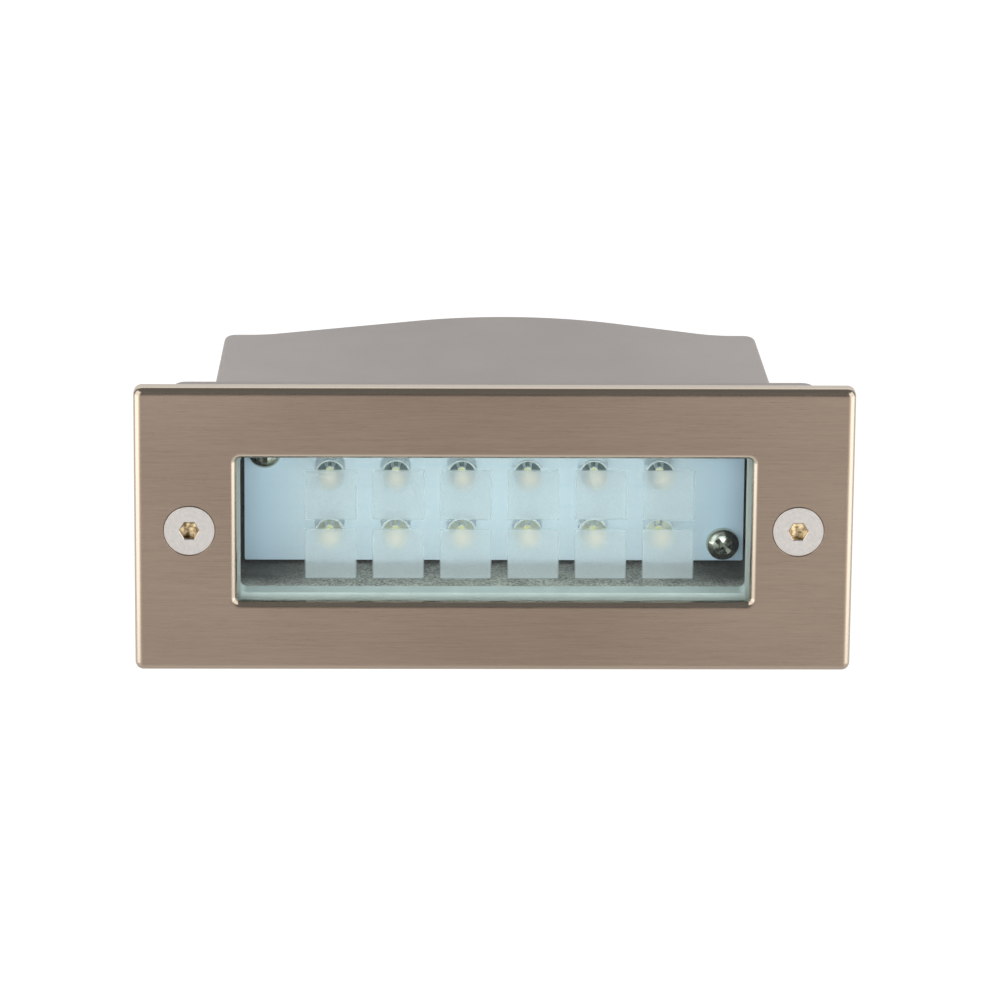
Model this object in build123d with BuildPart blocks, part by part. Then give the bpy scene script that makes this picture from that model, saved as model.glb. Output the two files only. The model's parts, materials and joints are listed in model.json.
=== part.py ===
from build123d import *
from math import atan2, cos, radians, tan
import os

# Recessed outdoor wall spotlight with a rectangular front.
# X is to the right seen from the front, Y goes into the wall and Z is up.
# The origin is the middle of the front cover, in the plane of the wall's face.

# Front cover: a pressed sheet with a turned-back rim that stands on the wall
cover_depth = 4.0
cover_sheet = 2.0
cover_edge_radius = 1.8
cover_corner_extra = 0.2
cover_inner_radius = 0.5
cover_gap_side = 5.0
cover_gap_top = 0.2
window_width = 121.6
window_height = 35.4
window_corner_radius = 0.9
window_edge_radius = 1.7

# Cover screws: M6, countersunk, with a hexagon socket, held in the cover by a ring
screw_radius = 3.0
screw_wall = 1.6
screw_length = 16.0
screw_head_radius = 6.0
screw_socket_across = 4.0
screw_socket_depth = 2.4
screw_tip_chamfer = 0.6
screw_running_clearance = 0.05
screw_ring_gap = 0.25
screw_seat_clearance = 0.05
screw_hole_clearance = 0.3
screw_free_travel = 6.2
retainer_radius = 4.7
retainer_thickness = 1.5
retainer_clearance = 0.3

# Glass pane with a frosted square in front of each light
glass_overlap_side = 3.2
glass_overlap_top = 9.8
glass_thickness = 4.0
glass_corner_radius = 2.0
frost_side = 11.8
frost_corner_radius = 0.5
frost_depth = 0.1
frost_margin_side = 20.8
frost_margin_top = 10.35
frost_shift = 1.4

# Gasket: a channel that wraps the edge of the glass
seat_gap = 0.1
gasket_front_lip = 0.4
gasket_back_lip = 5.0
gasket_web = 1.2
gasket_setback = 1.0
gasket_show_side = 0.7
gasket_show_top = 0.7
gasket_opening_radius = 1.5
pocket_clearance = 0.2

# Rear housing: a cast box with a front flange and a bulging back
flange_rim_side = 1.0
flange_rim_top = 3.9
flange_corner_radius = 5.0
flange_edge_radius = 0.8
ledge_thickness = 1.3
ledge_side = 0.85
ledge_top = 1.8
ear_plate = 3.0
ear_wall = 2.2
ear_core_radius = 1.5
body_side_taper = 2.4
body_draft = 0.5
body_corner_radius = 3.0
body_edge_radius = 1.2
wall = 2.5
shoulder_depth = 62.3
shoulder_run = 9.5
shoulder_radius = 22.0
bulge_peak = 21.6
bulge_radius = 67.0
bulge_shift = 7.0
boss_radius = 5.6
boss_past_tip = 1.5

# Light tray: the trough that the lights shine out of
well_gap_side = 0.8
well_gap_top = 0.8
well_corner_radius = 2.0
tray_wall = 1.6
tray_rim = 1.2
tray_back = 1.8
board_setback = 23.0
board_boss_height = 2.9
board_boss_radius = 3.8

# Board with the lights
board_inset_side = 0.8
board_inset_top = 1.3
board_thickness = 1.6
board_corner_radius = 0.4
board_shift = 0.6
board_screw_inset = 4.9
board_screw_drop = 0.6
board_screw_radius = 2.0
board_screw_length = 5.6
board_screw_head_radius = 4.0
board_screw_head_height = 2.5
thread_clearance = 0.05
cross_width = 0.25
cross_depth = 0.5

# Lights: clear lens, two lead posts with a cup, and a drop of phosphor
led_columns = 6
led_rows = 2
led_margin_side = 20.5
led_margin_top = 9.1
led_radius = 3.5
led_length = 9.2
led_dome_radius = 3.4
led_foot_radius = 3.65
led_foot_height = 0.8
lead_side = 0.3
lead_spacing = 0.8
lead_tail = 1.3
lead_hole_clearance = 0.1
cup_height = 3.6
cup_depth = 0.7
cup_base_radius = 0.5
cup_rim_radius = 0.65
cup_wall = 0.15
anode_gap = 0.3

# Driver board behind the tray
driver_width = 76.0
driver_height = 32.0
driver_thickness = 1.6
driver_standoff = 6.2
driver_post_radius = 3.2
driver_post_inset = 5.0
driver_screw_radius = 1.5
driver_screw_length = 5.0
driver_screw_head_radius = 2.8
driver_screw_head_height = 1.9
film_capacitor_size = (18.0, 14.0, 9.0)
film_capacitor_place = (-20.0, 6.0)
smoothing_capacitor_radius = 5.0
smoothing_capacitor_height = 16.0
smoothing_capacitor_place = (6.0, 7.0)
rectifier_radius = 4.5
rectifier_height = 5.5
rectifier_place = (-2.0, -8.5)
resistor_radius = 1.3
resistor_length = 7.0
resistor_cap = 2.0
resistor_waist_radius = 1.1
resistor_chamfer = 0.4
resistor_places = [(-21.0, -5.0), (-21.0, -10.0)]
component_edge_radius = 0.6
terminal_size = (10.5, 11.0, 9.0)
terminal_place = (26.0, 6.0)
terminal_poles = 2
terminal_pitch = 5.0
terminal_screw_radius = 1.6
terminal_screw_length = 4.0
terminal_mouth = 3.0
slot_width = 0.6
slot_depth = 0.7

# Wires between the two boards, and the grommet that they pass through
wire_radius = 0.7
wire_spacing = 3.2
grommet_hole_radius = 4.0
grommet_lip_radius = 5.4
grommet_lip = 1.0
grommet_bore_clearance = 0.1

# Earth point on the floor of the housing
earth_place = (-45.0, 45.0)
earth_pad_radius = 5.0
earth_pad_height = 4.0
earth_screw_radius = 2.0
earth_screw_length = 5.5
earth_screw_head_radius = 3.8
earth_screw_head_height = 2.4
earth_washer_radius = 4.5
earth_washer_thickness = 0.8

# Cable gland in the middle of the back: M12 with a dome nut
gland_pad_rise = 0.6
gland_pad_radius = 11.0
gland_pad_thickness = 5.0
gland_thread_radius = 6.0
gland_thread_clearance = 0.05
gland_hole_clearance = 0.15
gland_bore_radius = 3.6
gland_across_flats = 15.0
gland_hex_height = 4.0
gland_washer_radius = 8.4
gland_washer_thickness = 1.2
gland_collar_length = 7.0
gland_locknut_across = 17.0
gland_locknut_height = 4.0
gland_tail = 1.0
gland_seal_radius = 4.8
gland_seal_bore = 3.2
gland_seal_length = 6.0
gland_seal_depth = 5.0
gland_seal_clearance = 0.05
gland_ring_thickness = 1.0
gland_ring_clearance = 0.1
gland_nut_length = 11.0
gland_nut_gap = 0.4
gland_nut_radius = 7.3
gland_nut_hex_length = 6.0
gland_nut_dome_radius = 2.2
gland_nut_mouth = 3.8

# Depths of the stack between the cover and the housing, counted from the wall's face
cover_front = -cover_depth
cover_inner = cover_front + cover_sheet
flange_front = cover_inner + seat_gap
glass_front = flange_front + gasket_front_lip
glass_back = glass_front + glass_thickness
rim_front = glass_back + gasket_back_lip
ledge = rim_front + tray_rim
flange_back = ledge + ledge_thickness
board_front = glass_back + board_setback
board_back = board_front + board_thickness
tray_floor = board_back + board_boss_height
tray_end = tray_floor + tray_back
driver_front = tray_end + driver_standoff
driver_back = driver_front + driver_thickness
screw_tip = cover_front + screw_length
boss_end = screw_tip + boss_past_tip

# The retaining ring lies the screw's free travel behind the cover's sheet
retainer_front = cover_inner + screw_free_travel + retainer_clearance
retainer_back = retainer_front + retainer_thickness
counterbore_floor = retainer_back + retainer_clearance
counterbore_radius = retainer_radius + retainer_clearance

# Sizes across the front, worked outwards from the window
glass_width = window_width + 2 * glass_overlap_side
glass_height = window_height + 2 * glass_overlap_top
pocket_width = glass_width + 2 * (gasket_web + pocket_clearance)
pocket_height = glass_height + 2 * (gasket_web + pocket_clearance)
pocket_radius = glass_corner_radius + gasket_web
screw_x = pocket_width / 2 + screw_wall + counterbore_radius
flange_width = 2 * (screw_x + counterbore_radius + flange_rim_side)
flange_height = pocket_height + 2 * flange_rim_top
cover_width = flange_width + 2 * (cover_gap_side + cover_sheet)
cover_height = flange_height + 2 * (cover_gap_top + cover_sheet)
cover_corner_radius = cover_edge_radius + cover_corner_extra

# Sizes of what lies behind the window
gasket_opening_width = window_width - 2 * gasket_show_side
gasket_opening_height = window_height - 2 * gasket_show_top
board_width = window_width - 2 * board_inset_side
board_height = window_height - 2 * board_inset_top
well_width = board_width + 2 * (board_shift + well_gap_side)
well_height = board_height + 2 * well_gap_top
led_pitch_x = (board_width - 2 * led_margin_side) / (led_columns - 1)
led_pitch_z = (board_height - 2 * led_margin_top) / (led_rows - 1)
frost_pitch_x = (window_width - 2 * frost_margin_side) / (led_columns - 1)
frost_pitch_z = (window_height - 2 * frost_margin_top) / (led_rows - 1)

# Sizes of the housing's box, which leaves a ledge inside the pocket for the tray's rim
body_width_front = pocket_width + 2 * (wall - ledge_side)
body_width_back = body_width_front - 2 * body_side_taper
body_height = pocket_height + 2 * (wall - ledge_top)

# Places on the front, as (x, z)
screw_places = [(-screw_x, 0), (screw_x, 0)]
board_screw_x = board_width / 2 - board_screw_inset
board_screw_z = board_height / 2 - board_screw_inset
board_screw_places = [
    (board_shift - board_screw_x, board_screw_z - board_screw_drop),
    (board_shift + board_screw_x, -board_screw_z - board_screw_drop),
]
board_rest_places = [
    (board_shift - board_screw_x, -board_screw_z),
    (board_shift + board_screw_x, board_screw_z),
]
driver_screw_x = driver_width / 2 - driver_post_inset
driver_screw_z = driver_height / 2 - driver_post_inset
driver_screw_places = [(-driver_screw_x, -driver_screw_z), (driver_screw_x, -driver_screw_z)]
wire_places = [(-wire_spacing / 2, 0), (wire_spacing / 2, 0)]
led_places = [
    (
        board_shift + (column - (led_columns - 1) / 2) * led_pitch_x,
        ((led_rows - 1) / 2 - row) * led_pitch_z,
    )
    for row in range(led_rows)
    for column in range(led_columns)
]

# The back's two slopes meet at the bulge's peak, which a large radius rounds off
left_run = body_width_back / 2 - shoulder_run + bulge_shift
right_run = body_width_back / 2 - shoulder_run - bulge_shift
half_turn = (atan2(bulge_peak, left_run) + atan2(bulge_peak, right_run)) / 2
bulge_end = shoulder_depth + bulge_peak - bulge_radius * (1 / cos(half_turn) - 1)
gland_pad_back = bulge_end + gland_pad_rise
gland_pad_front = gland_pad_back - gland_pad_thickness


def at_depth(depth):
    """Upright plane at a depth behind the wall's face; extruding goes towards the front."""
    return Plane.XZ.offset(-depth)


def lying_at(height):
    """Level plane at a height."""
    return Plane.XY.offset(height)


def save(part, name):
    """Label a finished piece and write it to its own file."""
    part.label = name
    export_step(part, f"parts/{name}.step")


def body_block(inset):
    """The housing's box as a solid block, drawn in by an inset."""
    reach = shoulder_depth + bulge_peak
    front_half = body_height / 2 - inset
    back_half = front_half - reach * tan(radians(body_draft))
    with BuildPart() as block:
        with BuildSketch(lying_at(-body_height)):
            with BuildLine():
                FilletPolyline(
                    (-body_width_front / 2, 0),
                    (-body_width_back / 2, shoulder_depth),
                    (bulge_shift - left_run, shoulder_depth),
                    (bulge_shift, shoulder_depth + bulge_peak),
                    (bulge_shift + right_run, shoulder_depth),
                    (body_width_back / 2, shoulder_depth),
                    (body_width_front / 2, 0),
                    radius=[
                        0,
                        body_corner_radius,
                        shoulder_radius,
                        bulge_radius,
                        shoulder_radius,
                        body_corner_radius,
                        0,
                    ],
                    close=True,
                )
            make_face()
            offset(amount=-inset)
        extrude(amount=2 * body_height)
        with BuildSketch(Plane.YZ.offset(-body_width_front)):
            with BuildLine():
                Polyline(
                    (0, -front_half),
                    (reach, -back_half),
                    (reach, back_half),
                    (0, front_half),
                    close=True,
                )
            make_face()
        extrude(amount=2 * body_width_front, mode=Mode.INTERSECT)
        rims = block.faces().sort_by(Axis.Z)[-1].edges() + block.faces().sort_by(Axis.Z)[0].edges()
        fillet(
            rims.filter_by_position(Axis.Y, shoulder_depth - body_corner_radius - inset, reach),
            body_edge_radius,
        )
    return block.part


def pan_head_screw(seat, radius, length, head_radius, head_height):
    """Cross-recess pan head screw whose head stands on the seat plane and whose tip points below it."""
    with BuildPart() as screw:
        with BuildSketch(seat):
            Circle(head_radius)
        extrude(amount=head_height)
        crown = screw.faces().sort_by(Axis(seat.origin, seat.z_dir))[-1]
        fillet(crown.edges(), head_height / 2)
        with BuildSketch(seat):
            Circle(radius)
        extrude(amount=-length)
        with BuildSketch(seat.offset(head_height)):
            Rectangle(head_radius, head_radius * cross_width)
            Rectangle(head_radius * cross_width, head_radius)
        extrude(amount=-head_height * cross_depth, mode=Mode.SUBTRACT)
    return screw.part


def ring(place, front, back, outer, inner):
    """Flat ring round an axis that runs into the wall."""
    with BuildPart() as band:
        with BuildSketch(at_depth(back)):
            with Locations(place):
                Circle(outer)
                Circle(inner, mode=Mode.SUBTRACT)
        extrude(amount=back - front)
    return band.part


os.makedirs("parts", exist_ok=True)

# Front cover
with BuildPart() as cover:
    with BuildSketch(at_depth(0)):
        RectangleRounded(cover_width, cover_height, cover_corner_radius)
    extrude(amount=cover_depth)
    front_rim = cover.faces().sort_by(Axis.Y)[0].edges()
    fillet(front_rim, cover_edge_radius)
    with BuildSketch(at_depth(0)):
        RectangleRounded(
            cover_width - 2 * cover_sheet,
            cover_height - 2 * cover_sheet,
            cover_inner_radius,
        )
    extrude(amount=cover_depth - cover_sheet, mode=Mode.SUBTRACT)
    with BuildSketch(at_depth(0)):
        RectangleRounded(window_width, window_height, window_corner_radius)
    extrude(amount=cover_depth, mode=Mode.SUBTRACT)
    window_rim = cover.faces().sort_by(Axis.Y)[0].inner_wires()[0].edges()
    fillet(window_rim, window_edge_radius)
    with Locations(at_depth(cover_front)):
        with Locations(*screw_places):
            CounterSinkHole(
                radius=screw_radius + screw_hole_clearance,
                counter_sink_radius=screw_head_radius + screw_ring_gap,
                depth=cover_depth,
                counter_sink_angle=90,
            )
save(cover.part, "front_cover")


def cover_screw(x):
    """Countersunk screw flush with the cover, its axis at x."""
    head_rim = screw_ring_gap - screw_seat_clearance
    neck = head_rim + screw_head_radius - screw_radius
    with BuildPart() as screw:
        with BuildSketch(Plane(origin=(x, cover_front, 0))):
            with BuildLine():
                Polyline(
                    (0, 0),
                    (screw_head_radius, 0),
                    (screw_head_radius, head_rim),
                    (screw_radius, neck),
                    (screw_radius, screw_length - screw_tip_chamfer),
                    (screw_radius - screw_tip_chamfer, screw_length),
                    (0, screw_length),
                    close=True,
                )
            make_face()
        revolve(axis=Axis((x, 0, 0), (0, 1, 0)))
        with BuildSketch(at_depth(cover_front)):
            with Locations((x, 0)):
                RegularPolygon(screw_socket_across / 2, 6, major_radius=False)
        extrude(amount=-screw_socket_depth, mode=Mode.SUBTRACT)
    return screw.part


# Cover screws and the rings that hold them in the cover
for side, place in zip(("left", "right"), screw_places):
    save(cover_screw(place[0]), f"cover_screw_{side}")
    bore = screw_radius + screw_running_clearance
    save(ring(place, retainer_front, retainer_back, retainer_radius, bore), f"screw_retainer_{side}")

# Glass pane, frosted on its rear face
with BuildPart() as glass:
    with BuildSketch(at_depth(glass_back)):
        RectangleRounded(glass_width, glass_height, glass_corner_radius)
    extrude(amount=glass_thickness)
    with BuildSketch(at_depth(glass_back)):
        with Locations((frost_shift, 0)):
            with GridLocations(frost_pitch_x, frost_pitch_z, led_columns, led_rows):
                RectangleRounded(frost_side, frost_side, frost_corner_radius)
    extrude(amount=frost_depth, mode=Mode.SUBTRACT)
save(glass.part, "glass_pane")

# Gasket round the edge of the glass
with BuildPart() as gasket:
    with BuildSketch(at_depth(rim_front)):
        RectangleRounded(
            glass_width + 2 * gasket_web,
            glass_height + 2 * gasket_web,
            glass_corner_radius + gasket_web,
        )
    extrude(amount=rim_front - flange_front)
    with BuildSketch(at_depth(glass_back)):
        RectangleRounded(glass_width, glass_height, glass_corner_radius)
    extrude(amount=glass_thickness, mode=Mode.SUBTRACT)
    with BuildSketch(at_depth(rim_front)):
        RectangleRounded(gasket_opening_width, gasket_opening_height, gasket_opening_radius)
    extrude(amount=gasket_back_lip, mode=Mode.SUBTRACT)
    with BuildSketch(at_depth(glass_front)):
        RectangleRounded(
            window_width + 2 * gasket_setback,
            window_height + 2 * gasket_setback,
            window_corner_radius + gasket_setback,
        )
    extrude(amount=gasket_front_lip, mode=Mode.SUBTRACT)
save(gasket.part, "glass_gasket")

# Rear housing
gland_place = (bulge_shift, 0)
earth_x, earth_y = earth_place
floor_half = body_height / 2 - earth_y * tan(radians(body_draft))
earth_pad_top = -floor_half + wall + earth_pad_height
with BuildPart() as housing:
    with BuildSketch(at_depth(flange_back)):
        RectangleRounded(flange_width, flange_height, flange_corner_radius)
    extrude(amount=flange_back - flange_front)
    fillet(housing.faces().sort_by(Axis.Y)[-1].edges(), flange_edge_radius)
    add(body_block(0))
    with BuildSketch(at_depth(boss_end)):
        with Locations(*screw_places):
            Circle(boss_radius)
    extrude(amount=boss_end - flange_front)
    with BuildSketch(at_depth(gland_pad_back)):
        with Locations(gland_place):
            Circle(gland_pad_radius)
    extrude(amount=wall)
    add(body_block(wall), mode=Mode.SUBTRACT)
    with BuildSketch(at_depth(gland_pad_back)):
        with Locations(gland_place):
            Circle(gland_pad_radius)
    extrude(amount=gland_pad_thickness)
    with BuildSketch(lying_at(earth_pad_top)):
        with Locations(earth_place):
            Circle(earth_pad_radius)
    extrude(amount=-(earth_pad_height + wall / 2))
    with BuildSketch(lying_at(earth_pad_top)):
        with Locations(earth_place):
            Circle(earth_screw_radius + thread_clearance)
    extrude(amount=-earth_screw_length, mode=Mode.SUBTRACT)
    with BuildSketch(at_depth(ledge)):
        RectangleRounded(pocket_width, pocket_height, pocket_radius)
    extrude(amount=ledge - flange_front, mode=Mode.SUBTRACT)
    core_inner = max(pocket_width, body_width_front) / 2 + ear_wall / 2
    core_outer = flange_width / 2 - ear_wall
    core_low = boss_radius + ear_wall
    core_high = flange_height / 2 - ear_wall
    with BuildSketch(at_depth(flange_back)):
        with GridLocations(core_inner + core_outer, core_low + core_high, 2, 2):
            RectangleRounded(core_outer - core_inner, core_high - core_low, ear_core_radius)
    extrude(amount=flange_back - flange_front - ear_plate, mode=Mode.SUBTRACT)
    with BuildSketch(at_depth(counterbore_floor)):
        with Locations(*screw_places):
            Circle(counterbore_radius)
    extrude(amount=counterbore_floor - flange_front, mode=Mode.SUBTRACT)
    with BuildSketch(at_depth(boss_end)):
        with Locations(*screw_places):
            Circle(screw_radius + screw_running_clearance)
    extrude(amount=boss_end - flange_front, mode=Mode.SUBTRACT)
    with BuildSketch(at_depth(gland_pad_back)):
        with Locations(gland_place):
            Circle(gland_thread_radius + gland_hole_clearance)
    extrude(amount=gland_pad_thickness, mode=Mode.SUBTRACT)
save(housing.part, "housing")

# Light tray
with BuildPart() as tray:
    with BuildSketch(at_depth(ledge)):
        RectangleRounded(
            pocket_width - 2 * pocket_clearance,
            pocket_height - 2 * pocket_clearance,
            pocket_radius,
        )
    extrude(amount=tray_rim)
    with BuildSketch(at_depth(tray_end)):
        RectangleRounded(
            well_width + 2 * tray_wall,
            well_height + 2 * tray_wall,
            well_corner_radius + tray_wall,
        )
    extrude(amount=tray_end - rim_front)
    with BuildSketch(at_depth(tray_floor)):
        RectangleRounded(well_width, well_height, well_corner_radius)
    extrude(amount=tray_floor - rim_front, mode=Mode.SUBTRACT)
    with BuildSketch(at_depth(tray_floor)):
        with Locations(*board_screw_places, *board_rest_places):
            Circle(board_boss_radius)
    extrude(amount=board_boss_height)
    with BuildSketch(at_depth(driver_front)):
        with Locations(*driver_screw_places):
            Circle(driver_post_radius)
    extrude(amount=driver_standoff)
    with BuildSketch(at_depth(tray_end)):
        with Locations(*board_screw_places):
            Circle(board_screw_radius + thread_clearance)
    extrude(amount=tray_end - board_back, mode=Mode.SUBTRACT)
    with BuildSketch(at_depth(driver_front)):
        with Locations(*driver_screw_places):
            Circle(driver_screw_radius + thread_clearance)
    extrude(amount=driver_screw_length, mode=Mode.SUBTRACT)
    with BuildSketch(at_depth(tray_end)):
        Circle(grommet_hole_radius)
    extrude(amount=tray_back, mode=Mode.SUBTRACT)
save(tray.part, "led_tray")

# Board with the lights
lead_hole = lead_side + 2 * lead_hole_clearance
with BuildPart() as board:
    with BuildSketch(at_depth(board_back)):
        with Locations((board_shift, 0)):
            RectangleRounded(board_width, board_height, board_corner_radius)
        with Locations(*board_screw_places):
            Circle(board_screw_radius + thread_clearance, mode=Mode.SUBTRACT)
        with Locations(*led_places):
            with GridLocations(lead_spacing, 1, 2, 1):
                Rectangle(lead_hole, lead_hole, mode=Mode.SUBTRACT)
    extrude(amount=board_thickness)
save(board.part, "led_board")


def lead_posts(place):
    """Two lead posts of a light: the left one carries the cup, the right one stops short of it."""
    x, z = place
    tail_end = board_back + lead_tail
    cup_base = board_front - cup_height
    with BuildPart() as posts:
        with BuildSketch(at_depth(tail_end)):
            with Locations((x - lead_spacing / 2, z)):
                Rectangle(lead_side, lead_side)
        extrude(amount=tail_end - cup_base)
        with Locations(Plane(origin=(x, cup_base, z), x_dir=(1, 0, 0), z_dir=(0, -1, 0))):
            Cone(cup_base_radius, cup_rim_radius, cup_depth, align=(Align.CENTER, Align.CENTER, Align.MIN))
        with Locations(Plane(origin=(x, cup_base - cup_wall, z), x_dir=(1, 0, 0), z_dir=(0, -1, 0))):
            Cone(
                cup_base_radius - cup_wall,
                cup_rim_radius - cup_wall,
                cup_depth - cup_wall,
                align=(Align.CENTER, Align.CENTER, Align.MIN),
                mode=Mode.SUBTRACT,
            )
        with BuildSketch(at_depth(tail_end)):
            with Locations((x + lead_spacing / 2, z)):
                Rectangle(lead_side, lead_side)
        extrude(amount=tail_end - cup_base - anode_gap)
    return posts.part


def phosphor_drop(place):
    """Drop of phosphor that fills the cup of a light."""
    x, z = place
    base = board_front - cup_height - cup_wall
    with BuildPart() as drop:
        with Locations(Plane(origin=(x, base, z), x_dir=(1, 0, 0), z_dir=(0, -1, 0))):
            Cone(
                cup_base_radius - cup_wall,
                cup_rim_radius - cup_wall,
                cup_depth - cup_wall,
                align=(Align.CENTER, Align.CENTER, Align.MIN),
            )
    return drop.part


def lens_body(place):
    """Clear lens of a light, moulded round its lead posts and phosphor."""
    x, z = place
    with BuildPart() as lens:
        with BuildSketch(at_depth(board_front)):
            with Locations((x, z)):
                Circle(led_radius)
        extrude(amount=led_length)
        dome = lens.edges().filter_by(GeomType.CIRCLE).sort_by(Axis.Y)[0]
        fillet(dome, led_dome_radius)
        with BuildSketch(at_depth(board_front)):
            with Locations((x, z)):
                Circle(led_foot_radius)
        extrude(amount=led_foot_height)
        add(lead_posts(place), mode=Mode.SUBTRACT)
        add(phosphor_drop(place), mode=Mode.SUBTRACT)
    return lens.part


# The lights, numbered along the upper row and then the lower one
drops = []
for number, place in enumerate(led_places, start=1):
    save(lens_body(place), f"led_lens_{number:02d}")
    save(lead_posts(place), f"led_leads_{number:02d}")
    drops.append(phosphor_drop(place))
save(Compound(children=drops), "led_phosphors")

# Screws of the board
board_screws = [
    pan_head_screw(
        Plane(origin=(x, board_front, z), x_dir=(1, 0, 0), z_dir=(0, -1, 0)),
        board_screw_radius,
        board_screw_length,
        board_screw_head_radius,
        board_screw_head_height,
    )
    for x, z in board_screw_places
]
save(Compound(children=board_screws), "board_screws")

# Grommet in the back of the tray, with a bore for each wire
with BuildPart() as grommet:
    with BuildSketch(at_depth(tray_end + grommet_lip)):
        Circle(grommet_lip_radius)
    extrude(amount=grommet_lip)
    with BuildSketch(at_depth(tray_end)):
        Circle(grommet_hole_radius)
    extrude(amount=tray_back)
    with BuildSketch(at_depth(tray_floor)):
        Circle(grommet_lip_radius)
    extrude(amount=grommet_lip)
    with BuildSketch(at_depth(tray_end + grommet_lip)):
        with Locations(*wire_places):
            Circle(wire_radius + grommet_bore_clearance)
    extrude(amount=tray_back + 2 * grommet_lip, mode=Mode.SUBTRACT)
save(grommet.part, "tray_grommet")

# Wires from the driver board to the board with the lights
for pole, place in zip(("negative", "positive"), wire_places):
    with BuildPart() as wire:
        with BuildSketch(at_depth(driver_front)):
            with Locations(place):
                Circle(wire_radius)
        extrude(amount=driver_front - board_back)
    save(wire.part, f"led_wire_{pole}")

# Driver board
with BuildPart() as driver:
    with BuildSketch(at_depth(driver_back)):
        RectangleRounded(driver_width, driver_height, board_corner_radius)
        with Locations(*driver_screw_places):
            Circle(driver_screw_radius + thread_clearance, mode=Mode.SUBTRACT)
    extrude(amount=driver_thickness)
save(driver.part, "driver_board")

# Screws of the driver board, put in from behind
driver_screws = [
    pan_head_screw(
        Plane(origin=(x, driver_back, z), x_dir=(1, 0, 0), z_dir=(0, 1, 0)),
        driver_screw_radius,
        driver_screw_length,
        driver_screw_head_radius,
        driver_screw_head_height,
    )
    for x, z in driver_screw_places
]
save(Compound(children=driver_screws), "driver_screws")

# Components that stand on the rear face of the driver board
film_width, film_reach, film_height = film_capacitor_size
with BuildPart() as film:
    with BuildSketch(at_depth(driver_back)):
        with Locations(film_capacitor_place):
            Rectangle(film_width, film_height)
    extrude(amount=-film_reach)
    fillet(film.edges().filter_by(Axis.Y), component_edge_radius)
    fillet(film.faces().sort_by(Axis.Y)[-1].edges(), component_edge_radius / 2)
save(film.part, "film_capacitor")

with BuildPart() as smoothing:
    with BuildSketch(at_depth(driver_back)):
        with Locations(smoothing_capacitor_place):
            Circle(smoothing_capacitor_radius)
    extrude(amount=-smoothing_capacitor_height)
    fillet(smoothing.faces().sort_by(Axis.Y)[-1].edges(), component_edge_radius)
    with BuildSketch(at_depth(driver_back + smoothing_capacitor_height)):
        with Locations(smoothing_capacitor_place):
            Rectangle(smoothing_capacitor_radius, slot_width)
            Rectangle(slot_width, smoothing_capacitor_radius)
    extrude(amount=slot_depth / 2, mode=Mode.SUBTRACT)
save(smoothing.part, "smoothing_capacitor")

with BuildPart() as rectifier:
    with BuildSketch(at_depth(driver_back)):
        with Locations(rectifier_place):
            Circle(rectifier_radius)
    extrude(amount=-rectifier_height)
    chamfer(rectifier.faces().sort_by(Axis.Y)[-1].edges(), component_edge_radius)
save(rectifier.part, "bridge_rectifier")


def resistor(place):
    """Resistor that lies on the driver board, swollen at both ends."""
    x, z = place
    axis_depth = driver_back + resistor_radius
    end = resistor_length / 2
    cap = end - resistor_cap
    with BuildPart() as body:
        with BuildSketch(Plane(origin=(x, axis_depth, z))):
            with BuildLine():
                Polyline(
                    (-end, 0),
                    (-end, resistor_radius - resistor_chamfer),
                    (-end + resistor_chamfer, resistor_radius),
                    (-cap - resistor_chamfer, resistor_radius),
                    (-cap, resistor_waist_radius),
                    (cap, resistor_waist_radius),
                    (cap + resistor_chamfer, resistor_radius),
                    (end - resistor_chamfer, resistor_radius),
                    (end, resistor_radius - resistor_chamfer),
                    (end, 0),
                    close=True,
                )
            make_face()
        revolve(axis=Axis((x, axis_depth, z), (1, 0, 0)))
    return body.part


save(Compound(children=[resistor(place) for place in resistor_places]), "driver_resistors")

# Screw terminal on the driver board: the wires enter from behind, the screws are on top
terminal_width, terminal_reach, terminal_height = terminal_size
terminal_x, terminal_z = terminal_place
terminal_top = terminal_z + terminal_height / 2
terminal_middle = driver_back + terminal_reach / 2
with BuildPart() as terminal:
    with BuildSketch(at_depth(driver_back)):
        with Locations(terminal_place):
            Rectangle(terminal_width, terminal_height)
    extrude(amount=-terminal_reach)
    chamfer(terminal.faces().sort_by(Axis.Z)[-1].edges().filter_by(Axis.X), component_edge_radius)
    with BuildSketch(at_depth(driver_back + terminal_reach)):
        with Locations(terminal_place):
            with GridLocations(terminal_pitch, 1, terminal_poles, 1):
                Rectangle(terminal_mouth, terminal_mouth)
    extrude(amount=terminal_mouth, mode=Mode.SUBTRACT)
    with BuildSketch(lying_at(terminal_top)):
        with Locations((terminal_x, terminal_middle)):
            with GridLocations(terminal_pitch, 1, terminal_poles, 1):
                Circle(terminal_screw_radius + thread_clearance)
    extrude(amount=-terminal_screw_length, mode=Mode.SUBTRACT)
save(terminal.part, "terminal_block")


def terminal_screw(x):
    """Slotted screw let into the top of the terminal."""
    with BuildPart() as screw:
        with BuildSketch(lying_at(terminal_top - slot_depth)):
            with Locations((x, terminal_middle)):
                Circle(terminal_screw_radius)
        extrude(amount=slot_depth - terminal_screw_length)
        with BuildSketch(lying_at(terminal_top - slot_depth)):
            with Locations((x, terminal_middle)):
                Rectangle(2 * terminal_screw_radius, slot_width)
        extrude(amount=-slot_depth, mode=Mode.SUBTRACT)
    return screw.part


terminal_screws = [
    terminal_screw(terminal_x + (pole - (terminal_poles - 1) / 2) * terminal_pitch)
    for pole in range(terminal_poles)
]
save(Compound(children=terminal_screws), "terminal_screws")

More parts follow.
